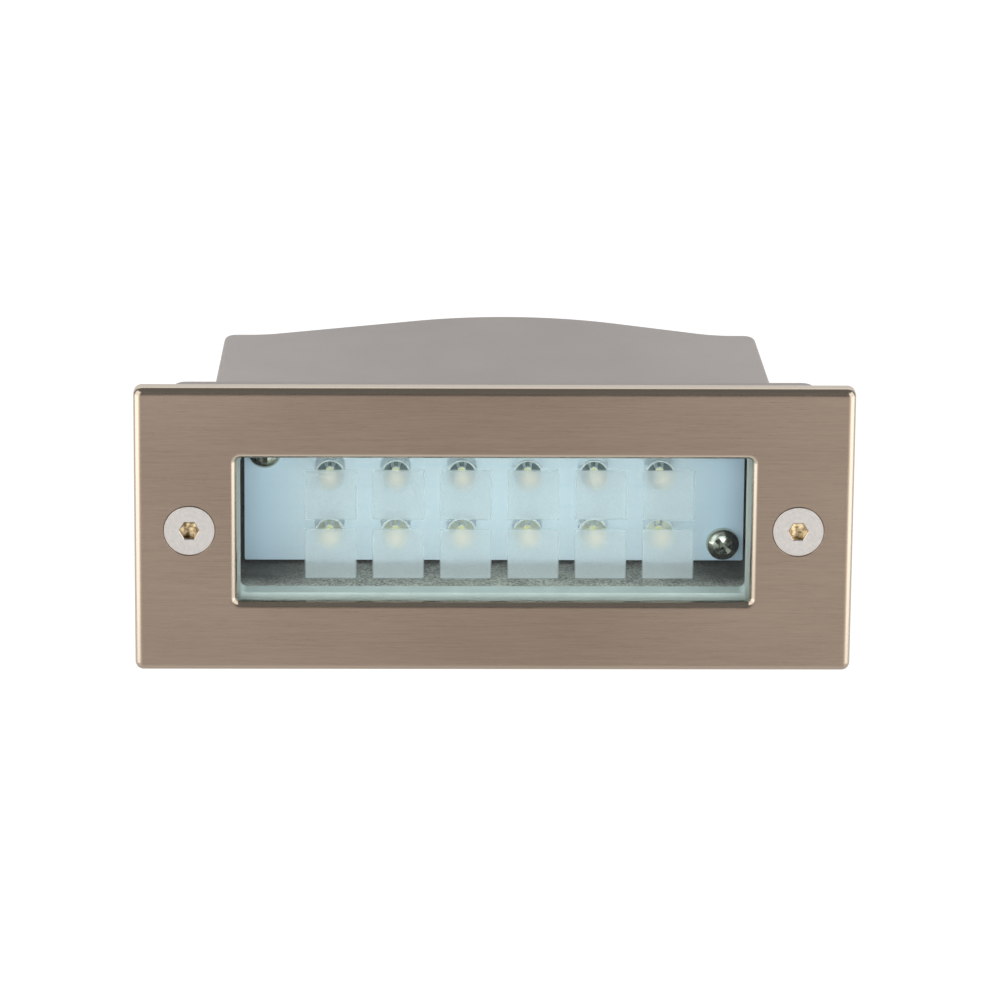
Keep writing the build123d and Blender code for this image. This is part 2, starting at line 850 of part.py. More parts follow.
# Earth point
washer_top = earth_pad_top + earth_washer_thickness
with BuildPart() as earth_washer:
    with BuildSketch(lying_at(earth_pad_top)):
        with Locations(earth_place):
            Circle(earth_washer_radius)
            Circle(earth_screw_radius + thread_clearance, mode=Mode.SUBTRACT)
    extrude(amount=earth_washer_thickness)
save(earth_washer.part, "earth_washer")

earth_screw = pan_head_screw(
    Plane(origin=(earth_x, earth_y, washer_top)),
    earth_screw_radius,
    earth_screw_length,
    earth_screw_head_radius,
    earth_screw_head_height,
)
save(earth_screw, "earth_screw")

# Cable gland, from the inside of the housing outwards
washer_back = gland_pad_back + gland_washer_thickness
hex_back = washer_back + gland_hex_height
collar_end = hex_back + gland_collar_length
locknut_front = gland_pad_front - gland_locknut_height
thread_bore = gland_thread_radius + gland_thread_clearance
with BuildPart() as locknut:
    with BuildSketch(at_depth(gland_pad_front)):
        with Locations(gland_place):
            RegularPolygon(gland_locknut_across / 2, 6, major_radius=False)
            Circle(thread_bore, mode=Mode.SUBTRACT)
    extrude(amount=gland_locknut_height)
save(locknut.part, "gland_locknut")
save(
    ring(gland_place, gland_pad_back, washer_back, gland_washer_radius, thread_bore),
    "gland_washer",
)

seal_front = collar_end - gland_seal_depth
seal_back = seal_front + gland_seal_length
with BuildPart() as gland:
    with BuildSketch(at_depth(collar_end)):
        with Locations(gland_place):
            Circle(gland_thread_radius)
    extrude(amount=collar_end - locknut_front + gland_tail)
    with BuildSketch(at_depth(hex_back)):
        with Locations(gland_place):
            RegularPolygon(gland_across_flats / 2, 6, major_radius=False)
    extrude(amount=gland_hex_height)
    with BuildSketch(at_depth(collar_end)):
        with Locations(gland_place):
            Circle(gland_bore_radius)
    extrude(amount=collar_end - locknut_front + gland_tail, mode=Mode.SUBTRACT)
    with BuildSketch(at_depth(collar_end)):
        with Locations(gland_place):
            Circle(gland_seal_radius + gland_seal_clearance)
    extrude(amount=gland_seal_depth, mode=Mode.SUBTRACT)
save(gland.part, "gland_body")
save(ring(gland_place, seal_front, seal_back, gland_seal_radius, gland_seal_bore), "gland_seal")

# Slip ring between the seal and the dome nut
ring_front = seal_back + gland_ring_clearance
ring_back = ring_front + gland_ring_thickness
save(ring(gland_place, ring_front, ring_back, gland_seal_radius, gland_nut_mouth), "gland_ring")

# Dome nut
nut_front = hex_back + gland_nut_gap
nut_back = nut_front + gland_nut_length
with BuildPart() as nut:
    with BuildSketch(at_depth(nut_back)):
        with Locations(gland_place):
            Circle(gland_nut_radius)
    extrude(amount=gland_nut_length)
    fillet(nut.faces().sort_by(Axis.Y)[-1].edges(), gland_nut_dome_radius)
    with BuildSketch(at_depth(nut_front + gland_nut_hex_length)):
        with Locations(gland_place):
            RegularPolygon(gland_across_flats / 2, 6, major_radius=False)
    extrude(amount=gland_nut_hex_length)
    with BuildSketch(at_depth(ring_back + gland_ring_clearance)):
        with Locations(gland_place):
            Circle(thread_bore)
    extrude(amount=ring_back + gland_ring_clearance - nut_front, mode=Mode.SUBTRACT)
    with BuildSketch(at_depth(nut_back)):
        with Locations(gland_place):
            Circle(gland_nut_mouth)
    extrude(amount=gland_nut_length, mode=Mode.SUBTRACT)
save(nut.part, "gland_nut")
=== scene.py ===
import json
import math

import bpy
from mathutils import Color, Matrix, Vector


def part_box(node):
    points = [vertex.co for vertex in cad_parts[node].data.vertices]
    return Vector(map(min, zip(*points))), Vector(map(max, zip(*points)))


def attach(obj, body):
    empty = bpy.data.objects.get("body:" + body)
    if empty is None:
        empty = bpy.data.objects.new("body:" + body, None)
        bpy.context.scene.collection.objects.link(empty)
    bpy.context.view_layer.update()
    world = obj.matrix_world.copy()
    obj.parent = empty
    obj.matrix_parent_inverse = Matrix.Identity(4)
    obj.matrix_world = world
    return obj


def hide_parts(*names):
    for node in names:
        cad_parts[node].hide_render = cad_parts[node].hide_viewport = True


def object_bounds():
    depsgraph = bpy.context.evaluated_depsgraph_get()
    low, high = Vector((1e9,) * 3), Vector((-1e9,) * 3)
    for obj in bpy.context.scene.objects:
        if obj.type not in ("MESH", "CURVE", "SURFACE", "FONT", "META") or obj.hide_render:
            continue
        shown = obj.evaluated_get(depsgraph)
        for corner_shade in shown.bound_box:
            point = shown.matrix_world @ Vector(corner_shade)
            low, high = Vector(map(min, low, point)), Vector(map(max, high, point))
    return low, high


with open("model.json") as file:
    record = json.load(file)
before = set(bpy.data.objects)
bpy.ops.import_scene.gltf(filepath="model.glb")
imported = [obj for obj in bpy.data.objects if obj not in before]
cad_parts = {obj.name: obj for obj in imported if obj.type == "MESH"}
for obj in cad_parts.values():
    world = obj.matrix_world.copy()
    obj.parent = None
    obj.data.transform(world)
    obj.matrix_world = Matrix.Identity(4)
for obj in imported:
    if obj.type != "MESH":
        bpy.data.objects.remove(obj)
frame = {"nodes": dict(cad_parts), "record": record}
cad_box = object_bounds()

nodes = frame["nodes"]
mm = 0.001

# Camera: where it stands round the cover's middle, and where that middle falls in the square picture
camera_azimuth = math.radians(-1.25)
camera_elevation = math.radians(18.1)
camera_roll = math.radians(0.489)
camera_distance = 1.5759
camera_target = Vector((0, -0.004, 0))
camera_near = 0.05
camera_far = 60.0
focal_pixels = 6669.6
picture_side = 1000
target_offset = (5.892, 31.454)
sensor_width = 36.0

# Stage: the floor, and the room, which grows lighter between two steps of the direction to the back
floor_drop = 0.17
floor_half = 12.0
room_turn_start = 0.35
room_turn_end = 0.9
room_light_front = 0.22
room_light_back = 1.0

# Frosted squares on the rear face of the glass, with a painted warm glow of the phosphor near the top of each
frost_columns = 6
frost_rows = 2
frost_pitch_x = 16.0 * mm
frost_pitch_z = 14.7 * mm
frost_shift = 1.4 * mm
frost_rise = 0.1 * mm
frost_half_x = 6.25 * mm
frost_half_z = 6.35 * mm
frost_edge = 0.45 * mm
frost_depth_start = 0.4 * mm
frost_depth_end = 0.6 * mm
# Painted glow of the phosphor: its height in the square, core, reach and share
phosphor_glow_height = 4.0 * mm
phosphor_glow_core = 0.4 * mm
phosphor_glow_radius = 3.3 * mm
phosphor_glow_share = 0.65

# Cover screws; the thread's run-out is in turns, and its rows are those of one turn
screw_offset = 72 * mm
screw_radius = 3.0 * mm
screw_head_radius = 6.0 * mm
screw_head_rim = 0.2 * mm
screw_rim_round = 0.08 * mm
screw_tip_chamfer = 0.6 * mm
screw_steps = 60
socket_across = 4.0 * mm
socket_depth = 2.4 * mm
socket_bevel = 0.18 * mm
socket_wall_share = 0.9
socket_end_share = 0.35
# Painted warm reflection in the hex sockets: its reach from the axis, and the depths where it starts, is full
# and ends
socket_reflection_radius = 2.4 * mm
socket_reflection_start = -3.88 * mm
socket_reflection_full = -3.7 * mm
socket_reflection_end = -1.0 * mm
thread_pitch = 1.0 * mm
thread_depth = 0.55 * mm
thread_slope = 1.3
thread_crest = 0.15
thread_run_out = 1.5
thread_lead_in = 0.4 * mm
thread_rows = 10

# Screws of the light board
board_screw_places = ((-54.5 * mm, 10.9 * mm), (55.7 * mm, -12.1 * mm))
board_screw_turns = (math.radians(45), 0.0)
board_head_radius = 4.0 * mm
board_head_height = 2.5 * mm
board_dome_height = 2.1 * mm
board_dome_start = 2.35 * mm
board_dome_rows = 10
board_shank_radius = 2.0 * mm
board_tip = 0.4 * mm
recess_length = 2.1 * mm
recess_width = 0.55 * mm
recess_depth = 1.5 * mm
recess_bevel = 0.15 * mm
# Depths where the painted shade in the cross recesses starts and is full
recess_shade_start = 0.5 * recess_bevel
recess_shade_end = 3 * recess_bevel
recess_end_length = 0.45
recess_end_width = 0.5
recess_steps = 72

# Lights and their seats on the board
light_columns = 6
light_count = 12
light_shift = 0.6 * mm
light_pitch = 15.8 * mm
light_height = 7.3 * mm
# Seats of painted light and shade under the lights: their reach, soft edge and drop
seat_radius = 2.3 * mm
seat_edge = 0.15 * mm
seat_drop = 0.8 * mm
lens_radius = 3.5 * mm
lens_front_radius = 3.22 * mm
lens_dome_radius = 3.12 * mm
lens_dome_rows = 15
lens_foot_radius = 3.65 * mm
lens_foot_height = 0.8 * mm
lens_foot_round = 0.25 * mm
lens_foot_rows = 4
lens_steps = 48
# Band of painted highlight on the lens rim, which is also a step in the lens's outline
lens_ring_front = 18.95 * mm
lens_ring_back = 19.8 * mm
lens_ring_fade = 0.08 * mm

# Edges of the pieces made here that stay sharp
sharp_angle = math.radians(38)

# Middle of every noise, and how far a noise lowers and raises the roughness
noise_middle = 0.5
rough_fall = 0.06
rough_rise = 0.08

# Indices of refraction
glass_index = 1.5
frost_index = 1.4
epoxy_index = 1.27


def tone(red, green, blue):
    """Colour of a shader from the three shares of a screen colour."""
    return (*Color((red, green, blue)).from_srgb_to_scene_linear(), 1.0)


class Look:
    """Material that is put together from nodes; its places are metres in the part's frame."""

    def __init__(self, name):
        self.material = bpy.data.materials.new(name)
        self.material.use_nodes = True
        self.tree = self.material.node_tree
        self.tree.nodes.clear()
        self.place = self.add("TexCoord").outputs["Object"]

    def add(self, kind, inputs=None, **settings):
        """Node of a kind, with its settings, and a number or a link at each of the inputs."""
        node = self.tree.nodes.new("ShaderNode" + kind)
        for name, value in settings.items():
            setattr(node, name, value)
        for name, value in (inputs or {}).items():
            if isinstance(value, bpy.types.NodeSocket):
                self.tree.links.new(value, node.inputs[name])
            else:
                node.inputs[name].default_value = value
        return node

    def axis(self, name):
        """Place along an axis."""
        return self.add("SeparateXYZ", {0: self.place}).outputs[name]

    def away(self, name):
        """Distance from the middle along an axis."""
        return self.calc("ABSOLUTE", self.axis(name))

    def calc(self, operation, first, second=0.0):
        """Result of one operation."""
        return self.add("Math", {0: first, 1: second}, operation=operation).outputs[0]

    def total(self, first, *others):
        """Sum of numbers."""
        for other in others:
            first = self.calc("ADD", first, other)
        return first

    def product(self, first, *others):
        """Product of numbers."""
        for other in others:
            first = self.calc("MULTIPLY", first, other)
        return first

    def weigh(self, first, second, share):
        """Two numbers, the first by its share and the second by the rest."""
        return self.total(self.product(first, share), self.product(second, 1 - share))

    def reach(self, across, along):
        """Distance from an axis, from two distances at right angles."""
        return self.calc("SQRT", self.total(self.product(across, across), self.product(along, along)))

    def ramp(self, value, start, end, low=0.0, high=1.0):
        """Number that goes from low to high as a value goes from start to end."""
        inputs = {"Value": value, "From Min": start, "From Max": end, "To Min": low, "To Max": high}
        return self.add("MapRange", inputs).outputs[0]

    def spread(self, noise, low=0.0, high=1.0, width=0.2):
        """Noise that is stretched from low to high over a width to either side of its middle."""
        return self.ramp(noise, noise_middle - width, noise_middle + width, low, high)

    def rough(self, noise, middle):
        """Roughness that varies with a noise."""
        return self.spread(noise, middle - rough_fall, middle + rough_rise)

    def scaled(self, scale, place=None):
        """Place counted in features of a texture; the scale is features per metre, for all axes or each."""
        scales = scale if isinstance(scale, tuple) else (scale, scale, scale)
        return self.add("Mapping", {"Vector": place or self.place, "Scale": scales}).outputs[0]

    def noise(self, scale, detail=2.0, rough=0.55, place=None):
        """Cloudy noise."""
        inputs = {"Vector": self.scaled(scale, place), "Scale": 1.0, "Detail": detail, "Roughness": rough}
        return self.add("TexNoise", inputs).outputs["Fac"]

    def cells(self, scale):
        """Distance to the nearest of scattered points."""
        return self.add("TexVoronoi", {"Vector": self.scaled(scale), "Scale": 1.0}).outputs["Distance"]

    def mix(self, factor, first, second):
        """Mixture of two colours."""
        return self.add("Mix", {0: factor, 6: first, 7: second}, data_type="RGBA").outputs[2]

    def mix_numbers(self, factor, first, second):
        """Mixture of two numbers."""
        return self.add("Mix", {0: factor, 2: first, 3: second}).outputs[0]

    def bump(self, height, strength, distance):
        """Normal of a surface with a relief."""
        inputs = {"Height": height, "Strength": strength, "Distance": distance}
        return self.add("Bump", inputs).outputs[0]

    def shader(self, kind, **inputs):
        """Shader of a kind; underscores stand for the spaces in the names of its inputs."""
        named = {name.replace("_", " "): value for name, value in inputs.items()}
        return self.add(kind, named).outputs[0]

    def blend(self, factor, first, second):
        """Mixture of two shaders."""
        return self.add("MixShader", {0: factor, 1: first, 2: second}).outputs[0]

    def done(self, shader):
        """Material with its surface set."""
        self.add("OutputMaterial", {"Surface": shader})
        return self.material

    def surface(self, colour, roughness, normal, **inputs):
        """Material with one surface, metal or not."""
        named = {"Base_Color": colour, "Roughness": roughness, "Normal": normal}
        return self.done(self.shader("BsdfPrincipled", **named, **inputs))


def brushed_cover():
    """Stainless steel brushed along its length, with a painted lighter reflection towards its ends, and on its
    rounded edge whiter steel that is partly polish and partly a painted highlight, weaker on the bottom edge.
    """
    look = Look("brushed_cover")
    streaks = look.noise(scale=(80, 2600, 2600), detail=5, rough=0.7)
    fine = look.noise(scale=(240, 6500, 6500))
    cloud = look.noise(scale=(14, 14, 40))
    grain = look.weigh(streaks, fine, share=0.6)
    # Painted reflection: the face grows lighter towards its ends
    ends = look.ramp(look.away("X"), start=20 * mm, end=80 * mm, high=0.5)
    lift = look.total(look.spread(grain), ends, cloud)
    dark = tone(0.515, 0.45, 0.395)
    pale = tone(0.63, 0.56, 0.5)
    face = look.mix(look.ramp(lift, start=0.4, end=2.1), dark, pale)
    # Rounded edges: partly polish, partly a painted highlight; only 0.3 of it on the bottom edge
    edge = look.ramp(look.axis("Y"), start=-3.98 * mm, end=-3.85 * mm)
    edge = look.product(edge, look.ramp(look.axis("Z"), start=-34.2 * mm, end=-33.0 * mm, low=0.3))
    polish_and_highlight_tone = tone(0.72, 0.67, 0.61)
    edge_rough = 0.2
    rough = look.mix_numbers(edge, look.spread(grain, low=0.25, high=0.36), edge_rough)
    normal = look.bump(grain, strength=0.22, distance=0.02 * mm)
    return look.surface(look.mix(edge, face, polish_and_highlight_tone), rough, normal, Metallic=1.0)


def screw_steel():
    """Steel of the cover screws, with faint turning marks round the axes and a painted warm reflection with
    painted glints in the sockets.
    """
    look = Look("screw_steel")
    y = look.axis("Y")
    reach = look.reach(look.calc("SUBTRACT", look.away("X"), screw_offset), look.axis("Z"))
    rings = look.add("CombineXYZ", {"X": reach, "Y": y}).outputs[0]
    marks = look.noise(scale=(3800, 600, 1), place=rings)
    mixed = look.weigh(marks, look.noise(scale=1400), share=0.4)
    shade = look.mix(look.spread(mixed, width=0.15), tone(0.785, 0.765, 0.745), tone(0.84, 0.82, 0.8))
    # Painted glints and painted warm reflection inside the sockets
    glint_pattern = look.spread(look.noise(scale=700), width=0.1)
    socket_reflection = look.mix(glint_pattern, tone(0.46, 0.37, 0.25), tone(0.96, 0.87, 0.7))
    inside = look.product(
        look.calc("LESS_THAN", reach, socket_reflection_radius),
        look.ramp(y, socket_reflection_start, socket_reflection_full),
        look.calc("LESS_THAN", y, socket_reflection_end),
    )
    rough = look.spread(mixed, low=0.28, high=0.4)
    normal = look.bump(mixed, strength=0.1, distance=0.01 * mm)
    return look.surface(look.mix(inside, shade, socket_reflection), rough, normal, Metallic=1.0)


def recess_shade_mask(look):
    """Mask of painted shade deep in the cross recesses of the board screws."""
    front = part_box("board_screws")[0].y
    inside = 0.0
    for place in board_screw_places:
        across = look.calc("SUBTRACT", look.axis("X"), place[0])
        along = look.calc("SUBTRACT", look.axis("Z"), place[1])
        near = look.calc("LESS_THAN", look.reach(across, along), board_dome_start)
        inside = look.calc("MAXIMUM", near, inside)
    deep = look.ramp(look.axis("Y"), front + recess_shade_start, front + recess_shade_end, high=0.6)
    return look.product(inside, deep)


def grained_metal(name, dark, pale, middle, metallic=1.0, recesses=False):
    """Plated or plain metal with a fine random grain, with painted shade and more roughness deep in the
    recesses of the board screws if asked.
    """
    look = Look(name)
    grain = look.noise(scale=1500, detail=3)
    shade = look.mix(look.spread(look.noise(scale=180)), dark, pale)
    rough = look.rough(grain, middle)
    if recesses:
        # Painted shade, and more roughness, deep in the recesses
        shaded_recess = recess_shade_mask(look)
        recess_shade_tone = tone(0.5, 0.51, 0.44)
        pit_rough = 0.3
        shade = look.mix(shaded_recess, shade, recess_shade_tone)
        rough = look.total(rough, look.product(shaded_recess, pit_rough))
    normal = look.bump(grain, strength=0.05, distance=0.01 * mm)
    return look.surface(shade, rough, normal, Metallic=metallic)


def cast_metal():
    """Die-cast aluminium with a fine blasted skin, with painted light making it paler towards its ends behind
    the flange.
    """
    look = Look("cast_metal")
    skin = look.noise(scale=2600, detail=3)
    cloud = look.noise(scale=45, detail=3)
    pits = look.cells(scale=1700)
    pit_relief = 0.5
    height = look.total(look.product(pits, pit_relief), skin)
    # Painted light: paler towards the ends, behind the flange
    ends = look.ramp(look.away("X"), start=15 * mm, end=65 * mm, high=0.42)
    behind = look.ramp(look.axis("Y"), start=14 * mm, end=20 * mm)
    tint = look.total(look.weigh(cloud, skin, share=0.6), look.product(ends, behind))
    dark = tone(0.63, 0.605, 0.59)
    pale = tone(0.7, 0.675, 0.66)
    shade = look.mix(look.ramp(tint, start=0.3, end=1.1), dark, pale)
    rough = look.spread(skin, low=0.46, high=0.6)
    normal = look.bump(height, strength=0.22, distance=0.05 * mm)
    return look.surface(shade, rough, normal, Metallic=0.35)


def grainy_tray():
    """Sheet metal with a coarse grey grain, with painted light at its front and painted shade: darker to the
    back and in the corners behind the window, black at its ends.
    """
    look = Look("grainy_tray")
    y = look.axis("Y")
    grain = look.noise(scale=1500, detail=4, rough=0.75)
    mixed = look.weigh(grain, look.noise(scale=220), share=0.8)
    speckle = look.spread(mixed, width=0.1)
    # Painted light at the front of the floor, painted shade at its back
    front = look.mix(speckle, tone(0.5, 0.48, 0.45), tone(0.97, 0.97, 0.92))
    back = look.mix(speckle, tone(0.27, 0.25, 0.24), tone(0.52, 0.5, 0.48))
    shade = look.mix(look.ramp(y, start=6 * mm, end=28 * mm), front, back)
    # Painted shade in the corners behind the window
    corner_shade = look.product(
        look.ramp(look.away("X"), start=38 * mm, end=54 * mm, high=0.72),
        look.ramp(y, start=7 * mm, end=15 * mm),
    )
    corner_shade_tone = tone(0.2, 0.19, 0.185)
    shade = look.mix(corner_shade, shade, corner_shade_tone)
    # Painted shade: the ends, deep in shadow, go black
    ends = look.ramp(look.away("X"), start=60.9 * mm, end=61.25 * mm)
    tray_end_shade_tone = tone(0.05, 0.065, 0.075)
    shade = look.mix(ends, shade, tray_end_shade_tone)
    rough = look.spread(mixed, low=0.6, high=0.8)
    normal = look.bump(grain, strength=0.6, distance=0.1 * mm)
    return look.surface(shade, rough, normal, Specular_IOR_Level=0.2)


def gasket_shade_mask(look):
    """Mask of painted shade at the gasket's ends and, by a smaller share, at its feet next to the cover."""
    ends = look.ramp(look.away("X"), start=59.7 * mm, end=60.2 * mm)
    feet = look.ramp(look.away("Z"), start=17.3 * mm, end=18.2 * mm, high=0.45)
    return look.calc("MAXIMUM", ends, feet)


def moulded(name, dark, pale, middle, scale, gasket=False):
    """Plastic, rubber or lacquer with a fine skin and a slight cloud of colour, with painted shade at a
    gasket's ends and feet if asked.
    """
    look = Look(name)
    skin = look.noise(scale, detail=3)
    tint = look.weigh(look.noise(scale=160), skin, share=0.65)
    shade = look.mix(look.spread(tint, width=0.15), dark, pale)
    if gasket:
        # Painted shade at the gasket's ends and feet
        gasket_shade_tone = tone(0.76, 0.78, 0.75)
        shade = look.mix(gasket_shade_mask(look), shade, gasket_shade_tone)
    normal = look.bump(skin, strength=0.18, distance=0.03 * mm)
    return look.surface(shade, look.rough(skin, middle), normal)


def lane_number(look, place, shift, pitch, count):
    """Place counted in lanes of a pitch from the start of a row of them; the row's middle is shifted."""
    return look.total(look.calc("DIVIDE", look.calc("SUBTRACT", place, shift), pitch), count / 2)


def lane_offset(look, lane, pitch):
    """Distance from the middle of the lane, with its sign."""
    return look.product(look.calc("SUBTRACT", look.calc("FRACT", lane), 0.5), pitch)


def row_mask(look, lane, count):
    """Mask of a whole row of lanes."""
    from_middle = look.calc("ABSOLUTE", look.calc("SUBTRACT", lane, count / 2))
    return look.calc("LESS_THAN", from_middle, count / 2)


def lit_and_shaded_seats(look):
    """Mask of the round seats of the lights on the board, and their colour: painted shade in the upper row and
    painted light in the lower row.
    """
    z = look.axis("Z")
    lane = lane_number(look, look.axis("X"), light_shift, light_pitch, light_columns)
    across = lane_offset(look, lane, light_pitch)
    lower_row = look.calc("LESS_THAN", z, 0.0)
    outward = look.calc("SUBTRACT", look.calc("ABSOLUTE", z), light_height)
    upward = look.product(outward, look.ramp(lower_row, 0.0, 1.0, low=1.0, high=-1.0))
    reach = look.reach(across, look.total(upward, seat_drop))
    seat = look.ramp(reach, seat_radius - seat_edge, seat_radius, low=1.0, high=0.0)
    mask = look.product(seat, row_mask(look, lane, light_columns))
    # Painted shade in the upper row, painted light in the lower row
    dark = tone(0.41, 0.47, 0.465)
    pale = tone(0.98, 0.98, 0.9)
    return mask, look.mix(lower_row, dark, pale)


def printed_board(name, resist, copper, speck, pitch, lights=False):
    """Circuit board with solder resist over broad copper tracks; one with lights has painted light and shade on
    the seats of its lights and painted bluish shade at its ends.
    """
    look = Look(name)
    wave = look.noise(scale=(130, 1, 130), detail=1)
    wave_width = 0.6 * mm
    bent = look.total(look.axis("Z"), look.product(wave, wave_width))
    lane = look.calc("SUBTRACT", look.calc("FRACT", look.calc("DIVIDE", bent, pitch)), 0.5)
    track = look.ramp(look.calc("ABSOLUTE", lane), start=0.08, end=0.11)
    weave = look.noise(scale=900)
    copper_share = 0.35
    shade = look.mix(look.product(track, copper_share), resist, copper)
    shade = look.mix(look.spread(weave, high=0.3), shade, speck)
    if lights:
        # Painted bluish shade towards the board's ends
        board_end_shade = look.ramp(look.away("X"), start=46 * mm, end=56 * mm, high=0.8)
        board_end_shade_tone = tone(0.83, 0.925, 0.985)
        shade = look.mix(board_end_shade, shade, board_end_shade_tone)
        # Painted light and shade on the seats of the lights
        seats, seat_light_and_shade = lit_and_shaded_seats(look)
        shade = look.mix(seats, shade, seat_light_and_shade)
    track_relief = -0.6
    weave_relief = 0.25
    height = look.total(look.product(track, track_relief), look.product(weave, weave_relief))
    normal = look.bump(height, strength=0.15, distance=0.04 * mm)
    return look.surface(shade, look.spread(weave, low=0.34, high=0.5), normal)


def square_mask(look):
    """Mask of the frosted squares."""
    mask = look.ramp(look.axis("Y"), frost_depth_start, frost_depth_end)
    rows = (
        ("X", frost_shift, frost_pitch_x, frost_columns, frost_half_x),
        ("Z", frost_rise, frost_pitch_z, frost_rows, frost_half_z),
    )
    for axis, shift, pitch, count, half in rows:
        lane = lane_number(look, look.axis(axis), shift, pitch, count)
        off = look.calc("ABSOLUTE", lane_offset(look, lane, pitch))
        inside = look.ramp(off, half - frost_edge, half, low=1.0, high=0.0)
        mask = look.product(mask, inside, row_mask(look, lane, count))
    return mask


def phosphor_glow_mask(look):
    """Soft round patch of painted glow near the top of each frosted square, in front of the light's phosphor.
    """
    column = lane_number(look, look.axis("X"), light_shift, light_pitch, light_columns)
    row = lane_number(look, look.axis("Z"), 0.0, frost_pitch_z, frost_rows)
    rise = look.calc("SUBTRACT", lane_offset(look, row, frost_pitch_z), phosphor_glow_height)
    reach = look.reach(lane_offset(look, column, light_pitch), rise)
    return look.ramp(reach, phosphor_glow_core, phosphor_glow_radius, low=phosphor_glow_share, high=0.0)


def passing_light(look, glass, clear):
    """Glass that lets lamps and soft light through unbent."""
    path = look.add("LightPath").outputs
    return look.blend(look.calc("MAXIMUM", path["Is Shadow Ray"], path["Is Diffuse Ray"]), glass, clear)


def window_glass():
    """Clear glass with frosted squares on its rear face."""
    look = Look("window_glass")
    clear = look.shader("BsdfTransparent", Color=tone(0.99, 0.997, 0.997))
    smear = look.spread(look.noise(scale=60), high=0.03)
    bent = look.shader("BsdfRefraction", Color=tone(0.985, 0.997, 1.0), Roughness=smear, IOR=glass_index)
    shine = look.shader("BsdfGlossy", Color=tone(0.95, 0.98, 0.97), Roughness=smear)
    fresnel = look.add("Fresnel", {"IOR": glass_index}).outputs[0]
    shine_share = 0.3
    pane = look.blend(look.product(fresnel, shine_share), bent, shine)
    pane = passing_light(look, pane, clear)
    etch = look.noise(scale=2200, detail=3)
    # Painted warm glow of the phosphor on the frost
    phosphor_glow = phosphor_glow_mask(look)
    phosphor_glow_tone = tone(0.985, 0.958, 0.875)
    milk = look.mix(look.spread(etch), tone(0.875, 0.922, 0.927), tone(0.915, 0.952, 0.957))
    milk = look.mix(phosphor_glow, milk, phosphor_glow_tone)
    grain = look.bump(etch, strength=0.3, distance=0.03 * mm)
    lit = look.shader("BsdfDiffuse", Color=milk, Normal=grain)
    glowing = look.shader("BsdfTranslucent", Color=milk, Normal=grain)
    glow_share = 0.45
    blur = look.shader("BsdfGlass", Color=milk, Roughness=0.3, IOR=frost_index)
    sight = look.ramp(phosphor_glow, 0.0, phosphor_glow_share, low=0.5, high=0.08)
    frost = look.blend(sight, look.blend(glow_share, lit, glowing), passing_light(look, blur, clear))
    return look.done(look.blend(square_mask(look), pane, frost))


def clear_epoxy():
    """Clear moulded epoxy of the lights, with a milky white band on the rim as a painted highlight, and plain
    behind it.
    """
    look = Look("clear_epoxy")
    swirl = look.noise(scale=500)
    glass = look.shader(
        "BsdfGlass",
        Color=tone(0.96, 0.985, 0.99),
        Roughness=look.spread(swirl, high=0.05),
        IOR=epoxy_index,
        Normal=look.bump(swirl, strength=0.05, distance=0.05 * mm),
    )
    clear = look.shader("BsdfTransparent", Color=tone(0.998, 0.999, 0.999))
    # Milky white band on the rim: a painted highlight
    milk = look.mix(swirl, tone(0.9, 0.95, 0.95), tone(0.97, 0.99, 0.98))
    rim_highlight = look.shader("BsdfPrincipled", Base_Color=milk, Roughness=0.3)
    y = look.axis("Y")
    front = look.ramp(y, lens_ring_front - lens_ring_fade, lens_ring_front)
    behind = look.ramp(y, lens_ring_back - lens_ring_fade, lens_ring_back)
    band = look.product(front, look.calc("SUBTRACT", 1.0, behind))
    rim_highlight_share = 0.9
    body = look.blend(look.product(band, rim_highlight_share), look.blend(behind, glass, clear), rim_highlight)
    return look.done(passing_light(look, body, clear))


def pale_floor():
    """White floor that keeps the shadow of the object."""
    look = Look("pale_floor")
    paint = look.mix(look.noise(scale=3), tone(0.9, 0.9, 0.9), tone(0.92, 0.92, 0.92))
    plain = look.shader("BsdfDiffuse", Color=paint)
    shaded = look.shader("BsdfDiffuse", Color=(0.26, 0.26, 0.26, 1.0))
    path = look.add("LightPath").outputs
    strength = look.ramp(path["Is Camera Ray"], 0.0, 1.0, low=0.83, high=0.93)
    glow = look.shader("Emission", Color=(1, 1, 1, 1), Strength=strength)
    lit = look.add("AddShader", {0: shaded, 1: glow}).outputs[0]
    seen = look.calc("MAXIMUM", path["Is Camera Ray"], path["Is Glossy Ray"])
    seen = look.calc("MAXIMUM", seen, path["Is Transmission Ray"])
    return look.done(look.blend(seen, plain, lit))


